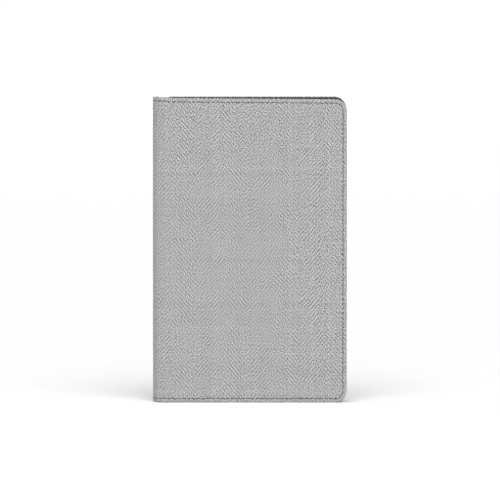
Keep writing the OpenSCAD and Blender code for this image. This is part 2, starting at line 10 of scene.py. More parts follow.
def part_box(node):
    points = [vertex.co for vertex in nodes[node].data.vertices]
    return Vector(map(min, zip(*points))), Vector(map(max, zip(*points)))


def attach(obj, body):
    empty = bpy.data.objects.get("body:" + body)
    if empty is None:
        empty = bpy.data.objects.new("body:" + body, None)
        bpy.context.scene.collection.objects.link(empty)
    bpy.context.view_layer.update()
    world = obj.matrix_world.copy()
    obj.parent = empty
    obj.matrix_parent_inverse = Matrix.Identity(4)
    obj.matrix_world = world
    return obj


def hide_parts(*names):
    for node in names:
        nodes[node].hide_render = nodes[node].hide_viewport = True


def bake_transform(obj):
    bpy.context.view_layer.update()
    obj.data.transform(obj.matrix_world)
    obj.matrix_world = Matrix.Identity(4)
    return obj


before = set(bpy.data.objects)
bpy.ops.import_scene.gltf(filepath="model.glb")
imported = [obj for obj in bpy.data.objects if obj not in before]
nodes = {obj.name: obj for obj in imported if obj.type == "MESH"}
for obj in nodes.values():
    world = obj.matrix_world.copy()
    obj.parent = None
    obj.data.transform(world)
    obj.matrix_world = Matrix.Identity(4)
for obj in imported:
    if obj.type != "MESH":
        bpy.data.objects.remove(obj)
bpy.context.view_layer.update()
MM = 0.001
PI = math.pi


def span(node):
    """A CAD node's lowest and highest corner in millimetres."""
    low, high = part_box(node)
    return [c / MM for c in low], [c / MM for c in high]


# ---------------------------------------------------------------- sizes, mm
X0 = span("spine_cloth")[0][0]
X1 = span("front_cloth")[1][0]
HALF = span("back_cloth")[1][1]
H = span("spine_cloth")[1][2]
CLOTH = 0.7
BOARD = 1.6
LINING = 0.5
EDGE_T = CLOTH + BOARD  # a cover's turned edge
CORNER = 8.7  # radius of the covers' corners
SPINE_R = 16.0  # outer face of the spine
SPINE_A = math.radians(30)  # half of the spine's arc
FOLD_R = (HALF - SPINE_R * math.sin(SPINE_A)) / (1 - math.sin(SPINE_A))
SPINE_CX = X0 + SPINE_R
FOLD_CX = SPINE_CX - (SPINE_R - FOLD_R) * math.cos(SPINE_A)
FOLD_CY = (SPINE_R - FOLD_R) * math.sin(SPINE_A)
COVER_X = X0 + 10.5  # the board's end beside the fold

# lengths round the outer face, from the middle of the spine
S1 = SPINE_R * SPINE_A  # end of the spine's arc
S2 = S1 + FOLD_R * (PI / 2 - SPINE_A)  # start of the flat cover
S_COVER = S2 + (COVER_X - FOLD_CX)  # start of the board
S_END = S2 + (X1 - FOLD_CX)  # free edge

FLAP0, FLAP1 = span("stand_cloth")
PIN = span("hinge_pin")
PIN_X = (PIN[0][0] + PIN[1][0]) / 2
# the back cover's window: x from and to, z from and to
WIN = (FLAP0[0] - 1, PIN_X + 3.6, FLAP0[2] - 1, FLAP1[2] + 1)
WIN_R = 6.0
NOTCH_R = 7.0  # thumb notch at the window's side
CAMERA = (52.0, 201.0, 7.0)  # the camera's window: x, z and radius
FLAP_R = 5.0  # corners of the flap

STITCH_IN = 2.84  # from the edge to the stitches
PITCH = 3.57
STITCH_L = 2.95
STITCH_R = 0.26

GRID = 3.6  # coarsest spacing of the cloth's mesh
COVER_ARC = 10  # steps round a cover's corner
PANEL_ARC = 7  # steps round a flap's corner
ROLL_R = 0.85  # turned edge of the cloth
ROLL_H = 0.03  # depth at which that turn starts
HOLE_R = 0.75  # the turn round a hole


def place(side, s, z, h):
    """A point of the case's skin in metres: s runs round the outer face from the
    middle of the spine, h is the depth below it; side is -1 in front, 1 behind."""
    if s < S1:
        a = s / SPINE_R
        x = SPINE_CX - (SPINE_R - h) * math.cos(a)
        y = (SPINE_R - h) * math.sin(a)
    elif s < S2:
        a = SPINE_A + (s - S1) / FOLD_R
        x = FOLD_CX - (FOLD_R - h) * math.cos(a)
        y = FOLD_CY + (FOLD_R - h) * math.sin(a)
    else:
        x = FOLD_CX + (s - S2)
        y = HALF - h
    return (x * MM, side * y * MM, z * MM)


def x_to_s(x):
    """Length round the outer face at a place on a flat cover."""
    return S2 + (x - FOLD_CX)


def step(a, b, t):
    """Rises smoothly from 0 at a to 1 at b."""
    t = min(1.0, max(0.0, (t - a) / (b - a)))
    return t * t * (3 - 2 * t)


def sag(side, s, z):
    """How the ends of the covers differ from straight: the soft folds dip, and the
    front cover's upper end falls a little towards its free edge. Returns the new z."""
    dip = step(9.5, 13.5, s) * (1 - step(17.2, 20.2, s))
    up = step(H - 16, H - 2, z)
    down = step(16, 2, z)
    if side < 0:
        slope = step(17.0, 20.5, s) * 0.8 + max(0.0, (s - 20) / (S_END - 20))
        return z - step(H - 60, H - 3, z) * slope - up * 0.2 * dip + down * 0.3 * dip
    return z - up * 1.2 * dip + down * 0.9 * dip


# ---------------------------------------------------------------- mesh making
def new_object(name, verts, faces, uvs=None, smooth=True):
    """Makes a mesh object; uvs are the flat cut's coordinates of the points."""
    mesh = bpy.data.meshes.new(name)
    mesh.from_pydata(verts, [], faces)
    if uvs:
        layer = mesh.uv_layers.new(name="cut")
        for loop in mesh.loops:
            layer.data[loop.index].uv = uvs[loop.vertex_index]
    mesh.validate()
    mesh.update()
    if smooth:
        mesh.polygons.foreach_set("use_smooth", [True] * len(mesh.polygons))
    obj = bpy.data.objects.new(name, mesh)
    bpy.context.scene.collection.objects.link(obj)
    return obj


class Skin:
    """Collects points given as (s, z, h) and their faces, then makes one mesh."""

    def __init__(self, side):
        self.side = side
        self.points = []
        self.faces = []

    def add(self, s, z, h):
        self.points.append((s, z, h))
        return len(self.points) - 1

    def quad_strip(self, a, b, closed=False):
        """Faces between two rows of points; doubled corners are left out."""
        n = len(a)
        for i in range(n if closed else n - 1):
            j = (i + 1) % n
            face = [a[i], a[j], b[j], b[i]]
            face = [v for k, v in enumerate(face) if v != face[k - 1]]
            if len(set(face)) > 2:
                self.faces.append(face)

    def lattice(self, lines, flip=False):
        """Faces between each row of points and the next."""
        for a, b in zip(lines, lines[1:]):
            if flip:
                self.quad_strip(a, b)
            else:
                self.quad_strip(b, a)

    def make(self, name, depth=None):
        verts = []
        for s, z, h in self.points:
            if depth:
                h += depth(s, z)
            verts.append(place(self.side, s, sag(self.side, s, z), h))
        uvs = [(s * MM, z * MM) for s, z, h in self.points]
        faces = self.faces if self.side > 0 else [f[::-1] for f in self.faces]
        return new_object(name, verts, faces, uvs)


def spread(a, b, most):
    """Even steps from a to b, none longer than most."""
    n = max(1, math.ceil((b - a) / most - 1e-9))
    return [a + (b - a) * i / n for i in range(n + 1)]


def columns(s_from, s_to):
    """Columns across a cover: fine where it curves or bends, coarse where it is flat."""
    cuts = [(0.0, 0.5), (0.5, 8.0), (8.0, 24.0), (24.0, s_to)]
    most = [0.25, 1.0, 0.7, 3.6]
    out = []
    for (a, b), m in zip(cuts, most):
        a, b = max(a, s_from), min(b, s_to)
        if b - a > 1e-6:
            out += spread(a, b, m)[:-1]
    return out + [s_to]


def cover_ring(d, cols, rows, arc=COVER_ARC):
    """A cover's outline in (s, z), inset by d, from the spine's lower end round the
    free edge to its upper end."""
    r = max(0.0, CORNER - d)
    cx, cz = S_END - CORNER, CORNER
    ring = [(s, d) for s in cols]
    for i in range(1, arc):
        a = -PI / 2 + PI / 2 * i / arc
        ring.append((cx + r * math.cos(a), cz + r * math.sin(a)))
    ring += [(S_END - d, z) for z in rows]
    for i in range(1, arc):
        a = PI / 2 * i / arc
        ring.append((cx + r * math.cos(a), H - cz + r * math.sin(a)))
    return ring + [(s, H - d) for s in reversed(cols)]


def turn(r, steps):
    """The rounded part of a turned edge: (distance in from the edge, depth)."""
    out = []
    for i in range(1, steps + 1):
        a = PI / 2 * i / steps
        out.append((r * (1 - math.sin(a)), ROLL_H + r * (1 - math.cos(a))))
    return out


def roll():
    """Cross-section of a turned and stitched edge, from the flat face outwards: pairs
    of (distance in from the edge, depth), and then, over the edge's side and round to
    the margin behind, pairs of (distance in, share of the depth that is left)."""
    section = [(5.4, 0.0), (4.4, 0.01), (3.7, 0.03), (3.2, 0.08), (STITCH_IN, 0.11),
               (2.5, 0.08), (2.1, 0.03), (1.7, 0.01), (1.3, 0.015)]
    tail = [(0.0, 0.55), (0.02, 0.78), (0.12, 0.93), (0.3, 1.0), (1.2, 1.0), (2.0, 1.0)]
    return section + turn(ROLL_R, 6), tail


def edge_depth(s):
    """Depth of the turned edge: the board's thickness, less in the soft fold."""
    fold = step(7.6, 9.6, s) * (1 - step(17.3, 18.9, s))
    in_fold = 1.25
    return EDGE_T - (EDGE_T - in_fold) * fold


def sides_of(ring, cols, rows):
    """The bottom, right and top rows of a cover's ring, each from low to high."""
    n, m = len(cols), len(rows)
    corner = COVER_ARC - 1
    return ring[:n], ring[n + corner:n + corner + m], ring[-n:][::-1]


def cover_skin(side, holes=()):
    """A cover's cloth: its face, its turned edges and the margin behind."""
    skin = Skin(side)
    cols = columns(0.0, S_END - CORNER)
    rows = spread(CORNER, H - CORNER, GRID)
    section, tail = roll()
    rings = []
    for d, h in [(CORNER, 0.0), (7.0, 0.0)] + section:
        rings.append([skin.add(s, z, h) for s, z in cover_ring(d, cols, rows)])
    low = ROLL_H + ROLL_R
    for d, share in tail:
        ring = []
        for s, z in cover_ring(d, cols, rows):
            ring.append(skin.add(s, z, low + (edge_depth(s) - low) * share))
        rings.append(ring)
    skin.lattice(rings, flip=True)
    rims = [hole_edge(skin, outline) for outline in holes]
    fill_cover(skin, rings[0], cols, rows, 0.0, lambda s: 0.0, rims)
    return skin


def hole_edge(skin, outline):
    """The cloth turned in round a hole; returns the turn's outermost points."""
    low = ROLL_H + HOLE_R
    section = [(3.2, 0.0), (2.2, 0.0), (1.5, 0.01), (HOLE_R, ROLL_H)] + turn(HOLE_R, 5)
    tail = [(0.0, 0.5), (0.02, 0.8), (0.15, 0.95), (0.35, 1.0), (1.6, 1.0)]
    rings = [[skin.add(s, z, h) for s, z in outline(d)] for d, h in section]
    for d, share in tail:
        rings.append([skin.add(s, z, low + (EDGE_T - low) * share) for s, z in outline(d)])
    for a, b in zip(rings, rings[1:]):
        skin.quad_strip(b, a, closed=True)
    return rings[0]


def fill_cover(skin, ring, cols, rows, s_from, height, rims, flip=False):
    """Fills a cover inside its ring of points: a plain grid, or triangles round the
    rims of its holes. height gives the depth along s."""
    bottom, right, top = sides_of(ring, cols, rows)
    if rims:
        left = [skin.add(s_from, z, height(s_from)) for z in reversed(rows[1:-1])]
        border = bottom + right[1:-1] + top[::-1] + left
        fill_round_holes(skin, [border] + rims, cols, rows, height, flip)
        return
    grid = [bottom]
    for z, last in zip(rows[1:-1], right[1:-1]):
        grid.append([skin.add(s, z, height(s)) for s in cols[:-1]] + [last])
    skin.lattice(grid + [top], flip)


def inside(loop, x, y):
    """Whether a point lies inside a closed outline."""
    hit = False
    for (xa, ya), (xb, yb) in zip(loop, loop[1:] + loop[:1]):
        if (ya > y) != (yb > y) and x < (xb - xa) * (y - ya) / (yb - ya) + xa:
            hit = not hit
    return hit


def fill_round_holes(skin, loops, cols, rows, height, flip):
    """Triangles between the first loop of points and the others, which are holes."""
    clear = 1.4  # from a hole to the nearest point of the grid
    flat = [skin.points[i][:2] for loop in loops for i in loop]
    index = [i for loop in loops for i in loop]
    edges = []
    at = 0
    for loop in loops:
        edges += [(at + k, at + (k + 1) % len(loop)) for k in range(len(loop))]
        at += len(loop)
    rims = [[skin.points[i][:2] for i in loop] for loop in loops[1:]]
    for s in cols[1:-1]:
        for z in rows[1:-1]:
            if any(near(rim, s, z, clear) or inside(rim, s, z) for rim in rims):
                continue
            flat.append((s, z))
            index.append(None)
    points, _, tris, origin, _, _ = delaunay_2d_cdt(
        [Vector(p) for p in flat], edges, [], 1, 1e-5)
    number = []
    for k, p in enumerate(points):
        known = [index[o] for o in origin[k] if index[o] is not None]
        number.append(known[0] if known else skin.add(p.x, p.y, height(p.x)))
    for tri in tris:
        x = sum(points[k].x for k in tri) / 3
        y = sum(points[k].y for k in tri) / 3
        if any(inside(rim, x, y) for rim in rims):
            continue
        face = [number[k] for k in tri]
        skin.faces.append(face if flip else face[::-1])


def near(rim, x, y, reach):
    """Whether a point lies within reach of any point of an outline."""
    return any((x - a) ** 2 + (y - b) ** 2 < reach * reach for a, b in rim)


def window_outline(d):
    """The back cover's window with its thumb notch, grown by d, in (s, z)."""
    xa, xb, za, zb = WIN
    xa, xb, za, zb = xa - d, xb + d, za - d, zb + d
    r = WIN_R + d
    zc = H / 2
    nr = NOTCH_R + d
    half = math.sqrt(nr * nr - d * d) if nr > d else 0.0
    a0 = math.asin(half / nr)
    points = []

    def arc(cx, cz, rr, a, b, n):
        for i in range(n + 1):
            t = a + (b - a) * i / n
            points.append((cx + rr * math.cos(t), cz + rr * math.sin(t)))

    def line(x_a, z_a, x_b, z_b, n):
        for i in range(1, n):
            points.append((x_a + (x_b - x_a) * i / n, z_a + (z_b - z_a) * i / n))

    arc(xb - r, za + r, r, -PI / 2, 0, 6)
    line(xb, za + r, xb, zb - r, 50)
    arc(xb - r, zb - r, r, 0, PI / 2, 6)
    line(xb - r, zb, xa + r, zb, 14)
    arc(xa + r, zb - r, r, PI / 2, PI, 6)
    line(xa, zb - r, xa, zc + half, 24)
    arc(WIN[0], zc, nr, PI - a0, PI + a0, 16)
    line(xa, zc - half, xa, za + r, 24)
    arc(xa + r, za + r, r, PI, 3 * PI / 2, 6)
    line(xa + r, za, xb - r, za, 14)
    return [(x_to_s(x), z) for x, z in points]


def camera_outline(d):
    """The round hole for the tablet's camera, grown by d, in (s, z)."""
    x, z, r = CAMERA
    steps = 32
    angles = [2 * PI * i / steps for i in range(steps)]
    return [(x_to_s(x + (r + d) * math.cos(a)), z + (r + d) * math.sin(a)) for a in angles]


def panel_ring(box, r, d, rows, cols, arc=PANEL_ARC):
    """A closed rounded rectangle, inset by d; box is (s0, s1, z0, z1)."""
    s0, s1, z0, z1 = box
    rr = max(0.0, r - d)
    ring = [(s, z0 + d) for s in cols]
    corners = [((s1 - r, z0 + r), -PI / 2, [(s1 - d, z) for z in rows]),
               ((s1 - r, z1 - r), 0.0, [(s, z1 - d) for s in reversed(cols)]),
               ((s0 + r, z1 - r), PI / 2, [(s0 + d, z) for z in reversed(rows)]),
               ((s0 + r, z0 + r), PI, [])]
    for (cs, cz), a0, after in corners:
        for i in range(1, arc):
            a = a0 + PI / 2 * i / arc
            ring.append((cs + rr * math.cos(a), cz + rr * math.sin(a)))
        ring += after
    return ring


def fill_panel(skin, ring, cols, rows, h, flip=False):
    """Fills a flap's rounded rectangle with a grid at one depth."""
    n, m = len(cols), len(rows)
    corner = PANEL_ARC - 1
    at_right = n + corner
    at_top = at_right + m + corner
    at_left = at_top + n + corner
    right = ring[at_right:at_right + m]
    top = ring[at_top:at_top + n][::-1]
    left = ring[at_left:at_left + m][::-1]
    grid = [ring[:n]]
    for z, first, last in zip(rows[1:-1], left[1:-1], right[1:-1]):
        grid.append([first] + [skin.add(s, z, h) for s in cols[1:-1]] + [last])
    skin.lattice(grid + [top], flip)


def panel_skin(side, box, r):
    """A flat flap's cloth: its face, its turned edges and the margin behind."""
    s0, s1, z0, z1 = box
    skin = Skin(side)
    cols = spread(s0 + r, s1 - r, GRID)
    rows = spread(z0 + r, z1 - r, GRID)
    section, tail = roll()
    rings = []
    for d, h in [(r, 0.0)] + [p for p in section if p[0] < r - 0.1]:
        rings.append([skin.add(s, z, h) for s, z in panel_ring(box, r, d, rows, cols)])
    low = ROLL_H + ROLL_R
    for d, share in tail:
        rings.append([skin.add(s, z, low + (EDGE_T - low) * share)
                      for s, z in panel_ring(box, r, d, rows, cols)])
    for a, b in zip(rings, rings[1:]):
        skin.quad_strip(a, b, closed=True)
    fill_panel(skin, rings[0], cols, rows, 0.0)
    return skin


def merge_close(obj, dist=1e-6):
    """Joins points that fall on each other and turns the faces one way, outwards."""
    bm = bmesh.new()
    bm.from_mesh(obj.data)
    bmesh.ops.remove_doubles(bm, verts=bm.verts, dist=dist)
    bmesh.ops.recalc_face_normals(bm, faces=bm.faces)
    bm.to_mesh(obj.data)
    bm.free()
    obj.data.polygons.foreach_set("use_smooth", [True] * len(obj.data.polygons))
    obj.data.update()


# ---------------------------------------------------------------- stitches
def sample_path(path, closed):
    """Points along a polyline at the stitch pitch: returns [(s, z, ds, dz)]."""
    if closed:
        path = path + path[:1]
    seg = [math.dist(a, b) for a, b in zip(path, path[1:])]
    total = sum(seg)
    count = max(1, round(total / PITCH))
    pitch = total / count
    out = []
    k, done = 0, 0.0
    for i in range(count):
        want = (i + 0.5) * pitch
        while k < len(seg) - 1 and done + seg[k] < want:
            done += seg[k]
            k += 1
        t = (want - done) / seg[k]
        a, b = path[k], path[k + 1]
        out.append((a[0] + (b[0] - a[0]) * t, a[1] + (b[1] - a[1]) * t,
                    (b[0] - a[0]) / seg[k], (b[1] - a[1]) / seg[k]))
    return out


def thread(name, side, path, closed=False, seed=5):
    """A row of lockstitches that lies in the valley along a path in (s, z)."""
    rng = random.Random(seed)
    verts, faces = [], []
    rings, around = 9, 6
    for s, z, ds, dz in sample_path(path, closed):
        skew = rng.gauss(0, 0.06)
        co, si = math.cos(skew), math.sin(skew)
        ds, dz = ds * co - dz * si, ds * si + dz * co
        length = STITCH_L * (1 + rng.gauss(0, 0.03))
        lift = rng.gauss(0, 0.015)
        first = len(verts)
        for i in range(rings):
            u = 2 * i / (rings - 1) - 1
            along = length / 2 * math.sin(PI / 2 * u)
            r = STITCH_R * max(0.12, math.sqrt(max(0.0, 1 - abs(u) ** 3.2)))
            h = 0.10 - lift + 0.30 * abs(u) ** 5
            cs, cz = s + ds * along, z + dz * along
            for k in range(around):
                a = 2 * PI * k / around
                off = r * math.cos(a)
                verts.append(place(side, cs - dz * off, sag(side, cs, cz + ds * off),
                                   h - r * math.sin(a)))
            if i:
                for k in range(around):
                    p = first + (i - 1) * around
                    q = p + around
                    j = (k + 1) % around
                    face = [p + k, p + j, q + j, q + k]
                    faces.append(face[::-1] if side > 0 else face)
        cap_a = [first + k for k in range(around)]
        cap_b = [first + (rings - 1) * around + k for k in range(around)]
        faces.append(cap_a if side > 0 else cap_a[::-1])
        faces.append(cap_b[::-1] if side > 0 else cap_b)
    return new_object(name, verts, faces)


# ---------------------------------------------------------------- linings, boards
def layer_depth(s):
    """Depth of the lining's outer side below the skin, along s."""
    fold = step(8.0, 9.2, s) * (1 - step(S_COVER + 0.1, S_COVER + 0.9, s))
    return EDGE_T + 0.02 - (EDGE_T - CLOTH) * fold


def layer_edge(stops, inset, thick):
    """Cross-section of a sheet's soft edge: (distance in, depth into the sheet).
    stops are the distances of the points on its flat faces."""
    soft = 0.12
    bit = 0.3 * soft
    half = [(d, 0) for d in stops] + [(inset + soft, 0), (inset + bit, bit), (inset, soft)]
    return half + [(d, thick - k) for d, k in reversed(half)]


def cover_layer(side, name, s_from, inset, depth_out, thick, holes=()):
    """A thin closed sheet under a cover's cloth: both faces, and a rim all round.
    depth_out gives the depth of its outer face along s."""
    def depth_in(s):
        return depth_out(s) + thick

    skin = Skin(side)
    rows = spread(CORNER, H - CORNER, GRID)
    cols = columns(s_from, S_END - CORNER)
    rings = []
    for d, k in layer_edge((CORNER, inset + 1.6), inset, thick):
        rings.append([skin.add(s, z, depth_out(s) + k)
                      for s, z in cover_ring(d, cols, rows)])
    skin.lattice(rings)
    hole_in = 0.5  # a hole in the sheet is wider than the hole in the cloth
    for ring, height, flip in ((rings[0], depth_out, True), (rings[-1], depth_in, False)):
        rims = [[skin.add(s, z, height(s)) for s, z in outline(hole_in)] for outline in holes]
        fill_cover(skin, ring, cols, rows, s_from, height, rims, flip)
    for outline in holes:
        outer = [skin.add(s, z, depth_out(s)) for s, z in outline(hole_in)]
        inner = [skin.add(s, z, depth_in(s)) for s, z in outline(hole_in)]
        skin.quad_strip(inner, outer, closed=True)
    # the straight end beside the spine's middle
    outer = [skin.add(s_from, z, depth_out(s_from)) for z in rows]
    inner = [skin.add(s_from, z, depth_in(s_from)) for z in rows]
    skin.quad_strip(outer, inner)
    skin.faces.append([ring[0] for ring in rings])
    skin.faces.append([ring[-1] for ring in rings][::-1])
    return skin.make(name)


def panel_layer(side, name, box, r, depth, thick):
    """A closed rounded sheet at one depth, such as the flap's lining."""
    skin = Skin(side)
    s0, s1, z0, z1 = box
    most = 6.0
    cols = spread(s0 + r, s1 - r, most)
    rows = spread(z0 + r, z1 - r, most)
    rings = [[skin.add(s, z, depth + k) for s, z in panel_ring(box, r, d, rows, cols)]
             for d, k in layer_edge((r,), 0, thick)]
    for a, b in zip(rings, rings[1:]):
        skin.quad_strip(b, a, closed=True)
    fill_panel(skin, rings[0], cols, rows, depth, flip=True)
    fill_panel(skin, rings[-1], cols, rows, depth + thick)
    return skin.make(name)


# ---------------------------------------------------------------- materials
class Tree:
    """A short way to write a material's nodes."""

    def __init__(self, name):
        self.mat = bpy.data.materials.new(name)
        self.mat.use_nodes = True
        self.nt = self.mat.node_tree
        self.nt.nodes.clear()
        self.out = self.nt.nodes.new("ShaderNodeOutputMaterial")
        self.shader = self.nt.nodes.new("ShaderNodeBsdfPrincipled")
        self.nt.links.new(self.shader.outputs[0], self.out.inputs[0])

    def put(self, socket, value):
        if isinstance(value, bpy.types.NodeSocket):
            self.nt.links.new(value, socket)
        else:
            socket.default_value = value

    def set(self, **values):
        for key, value in values.items():
            self.put(self.shader.inputs[key.replace("_", " ")], value)

    def math(self, op, a, b=0.0, c=0.0, clamp=False):
        node = self.nt.nodes.new("ShaderNodeMath")
        node.operation = op
        node.use_clamp = clamp
        self.put(node.inputs[0], a)
        self.put(node.inputs[1], b)
        self.put(node.inputs[2], c)
        return node.outputs[0]

    def mix(self, factor, a, b):
        node = self.nt.nodes.new("ShaderNodeMix")
        node.data_type = "RGBA"
        self.put(node.inputs[0], factor)
        for socket, value in ((node.inputs[6], a), (node.inputs[7], b)):
            self.put(socket, value if isinstance(value, bpy.types.NodeSocket) else (*value, 1.0))
        return node.outputs[2]

    def lerp(self, factor, a, b):
        node = self.nt.nodes.new("ShaderNodeMix")
        node.data_type = "FLOAT"
        self.put(node.inputs[0], factor)
        self.put(node.inputs[2], a)
        self.put(node.inputs[3], b)
        return node.outputs[0]

    def uv(self):
        node = self.nt.nodes.new("ShaderNodeUVMap")
        node.uv_map = "cut"
        return node.outputs[0]

    def here(self):
        return self.nt.nodes.new("ShaderNodeTexCoord").outputs["Object"]

    def scaled(self, vector, scale):
        node = self.nt.nodes.new("ShaderNodeMapping")
        self.put(node.inputs[0], vector)
        node.inputs["Scale"].default_value = scale
        return node.outputs[0]

    def split(self, vector):
        node = self.nt.nodes.new("ShaderNodeSeparateXYZ")
        self.put(node.inputs[0], vector)
        return node.outputs

    def join(self, x, y, z=0.0):
        node = self.nt.nodes.new("ShaderNodeCombineXYZ")
        for socket, value in zip(node.inputs, (x, y, z)):
            self.put(socket, value)
        return node.outputs[0]

    def noise(self, vector, scale, detail=2.0, rough=0.5):
        node = self.nt.nodes.new("ShaderNodeTexNoise")
        self.put(node.inputs["Vector"], vector)
        node.inputs["Scale"].default_value = scale
        node.inputs["Detail"].default_value = detail
        node.inputs["Roughness"].default_value = rough
        return node.outputs[0]

    def white(self, value):
        node = self.nt.nodes.new("ShaderNodeTexWhiteNoise")
        node.noise_dimensions = "1D"
        self.put(node.inputs["W"], value)
        return node.outputs[0]

    def bump(self, height, distance, strength=1.0):
        node = self.nt.nodes.new("ShaderNodeBump")
        self.put(node.inputs["Height"], height)
        node.inputs["Distance"].default_value = distance
        node.inputs["Strength"].default_value = strength
        return node.outputs[0]

    def range(self, value, a, b, c, d):
        node = self.nt.nodes.new("ShaderNodeMapRange")
        self.put(node.inputs[0], value)
        for socket, v in zip(node.inputs[1:5], (a, b, c, d)):
            socket.default_value = v
        return node.outputs[0]


def shades(base, low, high):
    """A darker and a lighter version of a colour."""
    return tuple(low * c for c in base), tuple(high * c for c in base)


WARP, WEFT = 0.00071, 0.00082  # spacing of the yarns, m
BAND = 26.0  # yarns from one turn of the herringbone to the next
BAND_START = 22.5  # yarns by which the bands are shifted


def cloth_material(name, dark, light):
    """Herringbone twill of heathered yarns, laid out on the flat cut."""
    t = Tree(name)
    at = t.split(t.uv())
    u = t.math("DIVIDE", at[0], WARP)
    v = t.math("DIVIDE", at[1], WEFT)
    # the yarns wander a little
    wob = t.scaled(t.uv(), (60.0, 60.0, 1.0))
    u = t.math("ADD", u, t.math("MULTIPLY_ADD", t.noise(wob, 3.0), 0.4, -0.2))
    v = t.math("ADD", v, t.math("MULTIPLY_ADD", t.noise(wob, 3.7), 0.4, -0.2))
    i, j = t.math("FLOOR", u), t.math("FLOOR", v)
    fu, fv = t.math("FRACT", u), t.math("FRACT", v)
    # two over, two under; the diagonal turns round with every band
    bands = t.math("FLOOR", t.math("DIVIDE", t.math("ADD", u, BAND_START), BAND))
    side = t.math("FLOORED_MODULO", bands, 2.0)
    sign = t.math("MULTIPLY_ADD", side, -2.0, 1.0)
    k = t.math("FLOORED_MODULO", t.math("MULTIPLY_ADD", i, sign, j), 4.0)
    warp_up = t.math("LESS_THAN", k, 1.5)
    # how far along and across the yarn that lies on top
    along_warp = t.math("DIVIDE", t.math("ADD", k, fv), 2.0)
    run = t.lerp(side, fu, t.math("SUBTRACT", 1.0, fu))
    along_weft = t.math("DIVIDE", t.math("ADD", t.math("SUBTRACT", k, 2.0), run), 2.0)
    along = t.lerp(warp_up, along_weft, along_warp)
    across = t.lerp(warp_up, fv, fu)
    crown = t.math("SINE", t.math("MULTIPLY", across, PI))
    bow = t.math("POWER", t.math("SINE", t.math("MULTIPLY", along, PI), clamp=True), 0.55)
    height = t.math("MULTIPLY", t.math("POWER", crown, 0.7, clamp=True), bow)
    # each yarn has its own tone, with slubs along it
    warp_tone = t.white(i)
    weft_tone = t.white(t.math("ADD", j, 977.3))
    warp_slub = t.noise(t.join(t.math("MULTIPLY", i, 3.1), t.math("MULTIPLY", v, 0.35)), 1.0)
    weft_slub = t.noise(t.join(t.math("MULTIPLY", u, 0.35), t.math("MULTIPLY", j, 3.3), 4.0), 1.0)
    tone = t.lerp(warp_up, weft_tone, warp_tone)
    slub = t.lerp(warp_up, weft_slub, warp_slub)
    fibre = t.noise(t.join(t.math("MULTIPLY", u, 2.6), t.math("MULTIPLY", v, 2.6)), 1.0, 3.0, 0.6)
    # each crossing differs from the four around it
    around = [t.white(t.math("MULTIPLY_ADD", t.math("ADD", i, di), 13.37,
                             t.math("MULTIPLY", t.math("ADD", j, dj), 7.19)))
              for di, dj in ((0, 0), (1, 0), (-1, 0), (0, 1), (0, -1))]
    others = t.math("ADD", t.math("ADD", around[1], around[2]),
                    t.math("ADD", around[3], around[4]))
    cell = t.math("ADD", t.math("MULTIPLY_ADD", others, -0.25, around[0]), 0.5)
    # the twill line is clearer in some patches than in others
    patch = t.range(t.noise(t.uv(), 75.0), 0.35, 0.65, 0.08, 0.3)
    blend = 0.015
    for part, weight in ((tone, 0.12), (slub, 0.08), (fibre, 0.08), (cell, 0.68)):
        blend = t.math("MULTIPLY_ADD", part, weight, blend)
    blend = t.math("MULTIPLY_ADD", t.math("ADD", warp_up, -0.6), patch, blend)
    # painted shade: the colour darkens from each yarn's crown towards the gaps between the yarns
    shade = t.math("MULTIPLY_ADD", height, 0.66, 0.34)
    colour = t.mix(t.range(blend, 0.2, 0.8, 0.0, 1.0), dark, light)
    # painted shadow colour for the gaps between the yarns
    painted_gap_shadow = tuple(0.28 * c for c in dark)
    t.set(Base_Color=t.mix(shade, painted_gap_shadow, colour), Roughness=t.math("MULTIPLY_ADD", fibre, 0.12, 0.82))
    t.set(Sheen_Weight=0.12, Sheen_Roughness=0.4, Specular_IOR_Level=0.22)
    t.set(Normal=t.bump(t.math("MULTIPLY_ADD", fibre, 0.18, height), 0.00016))
    return t.mat


def lining_material(name, base):
    """Short brushed fibres, like microsuede."""
    t = Tree(name)
    here = t.here()
    fine = t.noise(here, 5200.0, 3.0, 0.65)
    nap = t.noise(here, 260.0, 4.0, 0.6)
    cloudy = t.noise(here, 34.0, 3.0, 0.55)
    f = t.math("MULTIPLY_ADD", nap, 0.5, t.math("MULTIPLY", cloudy, 0.5))
    t.set(Base_Color=t.mix(t.range(f, 0.3, 0.7, 0.0, 1.0), *shades(base, 0.75, 1.3)),
          Roughness=t.range(fine, 0.2, 0.8, 0.84, 0.98))
    t.set(Sheen_Weight=0.3, Sheen_Roughness=0.45, Specular_IOR_Level=0.2)
    t.set(Normal=t.bump(t.math("MULTIPLY_ADD", nap, 0.6, fine), 0.00006, 0.8))
    return t.mat


def thread_material(name, base):
    """Two-ply polyester thread: a fine diagonal twist, with painted shade in the grooves between the
    plies.
    """
    t = Tree(name)
    at = t.split(t.here())
    line = t.math("MULTIPLY", t.math("ADD", at[0], at[2]), 9500.0)
    ply = t.math("MULTIPLY_ADD", t.math("SINE", line), 0.5, 0.5)
    tone = t.noise(t.here(), 900.0, 2.0)
    # half painted shade, lighter on the plies' crowns and darker in the grooves between them, half the
    # thread's random tone
    f = t.math("MULTIPLY_ADD", ply, 0.5, t.math("MULTIPLY", tone, 0.5))
    t.set(Base_Color=t.mix(f, *shades(base, 0.6, 1.35)),
          Roughness=t.range(tone, 0.2, 0.8, 0.5, 0.68))
    t.set(Normal=t.bump(ply, 0.00004, 0.7))
    return t.mat


